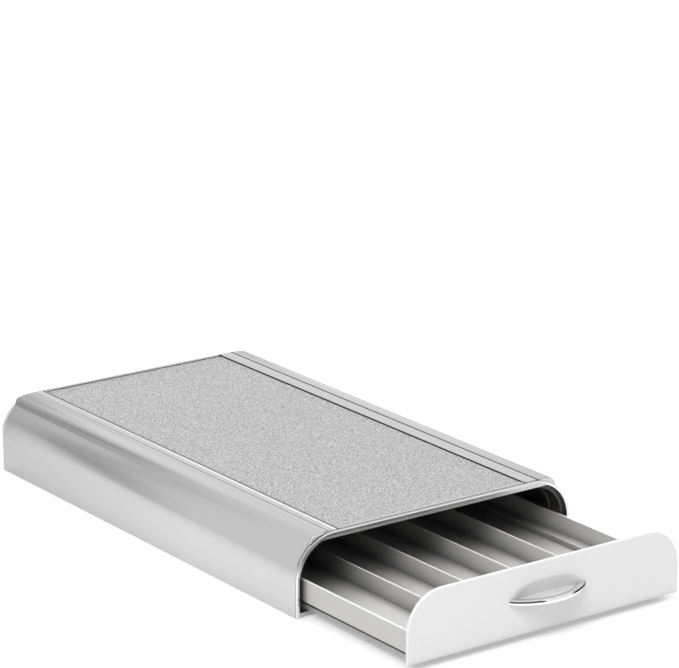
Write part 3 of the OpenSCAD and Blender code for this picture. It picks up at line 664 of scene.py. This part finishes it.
def screw_places(name):
    """Where each screw of a node sits: head top, way out of the head, head and shank radius, length."""
    shape = bmesh.new()
    shape.from_mesh(nodes[name].data)
    bmesh.ops.remove_doubles(shape, verts=shape.verts, dist=1e-6)
    seen, found = set(), []
    for start in shape.verts:
        if start in seen:
            continue
        seen.add(start)
        group, queue = [], [start]
        while queue:
            vert = queue.pop()
            group.append(vert.co.copy())
            for edge in vert.link_edges:
                other = edge.other_vert(vert)
                if other not in seen:
                    seen.add(other)
                    queue.append(other)
        low, high = (Vector([pick(co[i] for co in group) for i in range(3)]) for pick in (min, max))
        size, middle = high - low, (low + high) / 2
        axis = min(range(3), key=lambda i: abs(size[(i + 1) % 3] - size[(i + 2) % 3]))
        along = Vector([1.0 if i == axis else 0.0 for i in range(3)])

        def radius_at(end):
            return max(((co - middle) - along * (co - middle).dot(along)).length
                       for co in group if abs(co[axis] - end) < 1e-5)

        ends = {radius_at(high[axis]): (high[axis], along), radius_at(low[axis]): (low[axis], -along)}
        head, shank = max(ends), min(ends)
        at, way = ends[head]
        top = middle.copy()
        top[axis] = at
        found.append((top, way, head, shank, size[axis]))
    shape.free()
    return found


def screw_tree():
    """Geometry Nodes tree: a recessed pan head and a shank on each point."""
    tree = bpy.data.node_groups.new("screws_on_points", "GeometryNodeTree")
    face = tree.interface
    face.new_socket("Geometry", in_out="INPUT", socket_type="NodeSocketGeometry")
    sizes = {"Head Height": 0.5, "Head Crown": 0.84,
             "Recess Length": 1.0, "Recess Width": 0.24, "Recess Depth": 0.28}
    for name, value in sizes.items():
        face.new_socket(name, in_out="INPUT", socket_type="NodeSocketFloat").default_value = value
    face.new_socket("Material", in_out="INPUT", socket_type="NodeSocketMaterial")
    face.new_socket("Geometry", in_out="OUTPUT", socket_type="NodeSocketGeometry")

    def node(kind, inputs=None, **settings):
        made = tree.nodes.new(kind)
        for key, value in settings.items():
            setattr(made, key, value)
        for key, value in (inputs or {}).items():
            for item in value if isinstance(value, list) else [value]:
                if isinstance(item, bpy.types.NodeSocket):
                    tree.links.new(item, made.inputs[key])
                else:
                    made.inputs[key].default_value = item
        return made.outputs[0] if made.outputs else None

    given = tree.nodes.new("NodeGroupInput").outputs
    wide, deep, long_way = given["Recess Width"], given["Recess Depth"], given["Recess Length"]
    head = node("GeometryNodeMeshCone", {
        "Vertices": 28, "Side Segments": 2, "Radius Top": given["Head Crown"], "Radius Bottom": 1.0,
        "Depth": given["Head Height"]})
    thick = node("ShaderNodeMath", {0: deep, 1: 2.0}, operation="MULTIPLY")
    lift = node("ShaderNodeCombineXYZ", {"Z": given["Head Height"]})
    bars = [node("GeometryNodeTransform", {"Geometry": node("GeometryNodeMeshCube", {
        "Size": node("ShaderNodeCombineXYZ", {"X": one, "Y": two, "Z": thick})}), "Translation": lift})
        for one, two in ((long_way, wide), (wide, long_way))]
    cut = node("GeometryNodeMeshBoolean", {"Mesh 1": head, "Mesh 2": bars}, operation="DIFFERENCE")
    rod = node("GeometryNodeTransform", {"Geometry": node("GeometryNodeMeshCylinder", {
        "Vertices": 16, "Radius": 1.0, "Depth": 1.0}), "Translation": (0, 0, -0.49)})
    way = node("GeometryNodeInputNamedAttribute", {"Name": "way"}, data_type="FLOAT_VECTOR")
    wide_head, wide_rod, reach = (node("GeometryNodeInputNamedAttribute", {"Name": key}, data_type="FLOAT")
                                  for key in ("head", "shank", "reach"))
    turn = node("FunctionNodeAlignRotationToVector", {"Vector": way}, axis="Z")

    def placed(piece, across, along):
        scale = node("ShaderNodeCombineXYZ", {"X": across, "Y": across, "Z": along})
        return node("GeometryNodeInstanceOnPoints", {
            "Points": given["Geometry"], "Instance": piece, "Rotation": turn, "Scale": scale})

    heads = placed(cut, wide_head, wide_head)
    rods = placed(rod, wide_rod, reach)
    whole = node("GeometryNodeRealizeInstances", {"Geometry": node("GeometryNodeJoinGeometry",
                                                                   {"Geometry": [heads, rods]})})
    done = node("GeometryNodeSetMaterial", {"Geometry": whole, "Material": given["Material"]})
    tree.links.new(done, tree.nodes.new("NodeGroupOutput").inputs["Geometry"])
    return tree


def make_screws(name, body, node_names, tree, recess_width):
    """One piece with every screw of these nodes; the recess's width is a share of the head's radius."""
    places = [place for node_name in node_names for place in screw_places(node_name)]
    points = bpy.data.meshes.new(name + "_points")
    points.from_pydata([top - way * head * 0.5 for top, way, head, shank, length in places], [], [])
    for key, kind, field, values in (
            ("way", "FLOAT_VECTOR", "vector", [tuple(way) for _, way, _, _, _ in places]),
            ("head", "FLOAT", "value", [head for _, _, head, _, _ in places]),
            ("shank", "FLOAT", "value", [shank for _, _, _, shank, _ in places]),
            ("reach", "FLOAT", "value", [length - head * 0.5 for _, _, head, _, length in places])):
        layer = points.attributes.new(key, kind, "POINT")
        for item, value in zip(layer.data, values):
            setattr(item, field, value)
    carrier = bpy.data.objects.new(name + "_points", points)
    bpy.context.scene.collection.objects.link(carrier)
    grow = carrier.modifiers.new("screws", "NODES")
    grow.node_group = tree
    keys = {item.name: item.identifier for item in tree.interface.items_tree if item.in_out == "INPUT"}
    grow[keys["Recess Width"]] = recess_width
    grow[keys["Material"]] = STEEL
    ready = carrier.evaluated_get(bpy.context.evaluated_depsgraph_get())
    mesh = bpy.data.meshes.new_from_object(ready)
    bpy.data.objects.remove(carrier)
    mesh.name = name
    mesh.shade_smooth()
    mesh.set_sharp_from_angle(angle=math.radians(35))
    piece = bpy.data.objects.new(name, mesh)
    bpy.context.scene.collection.objects.link(piece)
    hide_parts(*node_names)
    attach(piece, body)


SCREWS = screw_tree()
make_screws("casing_screws", "casing", ("seam_screws", "runner_screws", "rear_screws"), SCREWS, 0.24)
make_screws("drawer_screws", "drawer", ("front_screws", "pull_screws"), SCREWS, 0.26)

# ---- studio ----

FLOOR_LIFT = 0.4      # glow of the floor in the picture and in the metal
WORLD_LEVEL = 0.5     # light of the surroundings on the object


def stage_sheet(name, corners, material, glossy_only=False):
    mesh = bpy.data.meshes.new(name)
    mesh.from_pydata(corners, [], [tuple(range(len(corners)))])
    sheet = bpy.data.objects.new(name, mesh)
    bpy.context.scene.collection.objects.link(sheet)
    mesh.materials.append(material)
    if glossy_only:
        sheet.visible_camera = False
        sheet.visible_diffuse = False
        sheet.visible_shadow = False
        sheet.visible_transmission = False


def shows_background(s):
    """1 for rays of the camera, of mirrors and of glass."""
    path = s.node("ShaderNodeLightPath").socket.node.outputs
    seen = [Value(s, path[name]) for name in ("Is Camera Ray", "Is Glossy Ray", "Is Transmission Ray")]
    return seen[0].higher_of(seen[1]).higher_of(seen[2])


def side_shade(s):
    """0 in the open, 1 where the dim wall stands beside and behind the object."""
    x, y, z = s.parts(s.node("ShaderNodeNewGeometry", output="Position"))
    across = y * 0.65 - abs(x) * 0.76
    shade = s.ramp(across - z * 0.42, -0.24, 0.14)
    return shade, x, z


def build_floor():
    made, s = new_material("floor_white")
    body = s.node("ShaderNodeBsdfDiffuse", {"Color": grey(0.74)})
    glow = s.node("ShaderNodeEmission", {"Color": (1, 1, 1, 1), "Strength": shows_background(s) * FLOOR_LIFT})
    lit = s.node("ShaderNodeAddShader", {0: body, 1: glow})
    dim = s.node("ShaderNodeEmission", {"Color": grey(0.42), "Strength": 1.0})
    shade, x, _ = side_shade(s)
    mirrored = Value(s, s.node("ShaderNodeLightPath").socket.node.outputs["Is Glossy Ray"])
    away = s.ramp(0 - x, 0.2, 0.8) * shade * mirrored
    s.node("ShaderNodeOutputMaterial", {"Surface": s.node("ShaderNodeMixShader", {0: away, 1: lit, 2: dim})})
    half = 12.0
    stage_sheet("floor", [(-half, -half, 0), (half, -half, 0), (half, half, 0), (-half, half, 0)], made)


def build_world():
    world = bpy.data.worlds.new("studio")
    bpy.context.scene.world = world
    s = Shader(world)
    plain = s.node("ShaderNodeBackground", {"Color": (1, 1, 1, 1), "Strength": WORLD_LEVEL})
    seen = s.node("ShaderNodeBackground", {"Color": (1, 1, 1, 1), "Strength": 1.0})
    mixed = s.node("ShaderNodeMixShader", {0: shows_background(s), 1: plain, 2: seen})
    s.node("ShaderNodeOutputWorld", {"Surface": mixed})


def lamp(name, place, aim, size, power):
    data = bpy.data.lights.new(name, "AREA")
    data.shape = "RECTANGLE"
    data.size, data.size_y = size
    data.energy = power
    made = bpy.data.objects.new(name, data)
    bpy.context.scene.collection.objects.link(made)
    made.location = place
    made.rotation_euler = (Vector(aim) - Vector(place)).to_track_quat("-Z", "Y").to_euler()
    made.visible_glossy = False


def dark_card(name, level):
    made, s = new_material(name)
    s.node("ShaderNodeOutputMaterial",
           {"Surface": s.node("ShaderNodeEmission", {"Color": grey(level), "Strength": 1.0})})
    return made


def wall_card(name):
    """Dim wall: darkest at the horizon and again high up, and fading out towards the front."""
    made, s = new_material(name)
    shade, _, z = side_shade(s)
    low = s.ramp(z, 0.12, 0.62, 0.62, 0.40)
    high = s.ramp(z, 1.36, 1.46, 0.0, 0.16)
    level = 1 - shade * (low + high)
    s.node("ShaderNodeOutputMaterial",
           {"Surface": s.node("ShaderNodeEmission", {"Color": (1, 1, 1, 1), "Strength": level})})
    return made


def standing_card(name, turns, reach, low, high, material):
    """Upright card that spans two bearings, in degrees from straight in front towards the right."""
    steps = max(1, round(abs(turns[1] - turns[0]) / 12))
    for i in range(steps):
        a, b = (math.radians(turns[0] + (turns[1] - turns[0]) * k / steps) for k in (i, i + 1))
        ends = [(reach * math.sin(t), -reach * math.cos(t)) for t in (a, b)]
        stage_sheet(f"{name}_{i}", [(*ends[0], low), (*ends[1], low), (*ends[1], high), (*ends[0], high)],
                    material, glossy_only=True)


def build_studio():
    build_floor()
    build_world()
    lamp("key", (-1.6, -1.4, 2.4), (0, 0, 0), (1.6, 1.6), 48)
    lamp("top", (0.4, 0.6, 2.6), (0, 0, 0), (2.2, 2.2), 36)
    # cards that are seen only in the metal
    stage_sheet("wall_left", [(-1, 0.1, 0), (-1, 3.4, 0), (-1, 3.4, 2.7), (-1, 0.1, 2.7)],
                wall_card("wall_card"), glossy_only=True)
    room = dark_card("room_card", 0.09)
    standing_card("room_front", (-64, 10), 2.6, 0.0, 3.0, room)
    standing_card("room_right", (88, 120), 2.6, 0.0, 1.4, room)


for edge, count, part_names in SOFT_EDGES:
    for part_name in part_names:
        soften(nodes[part_name], edge, count)

build_studio()
place_camera()
bpy.context.scene.view_settings.view_transform = "Standard"
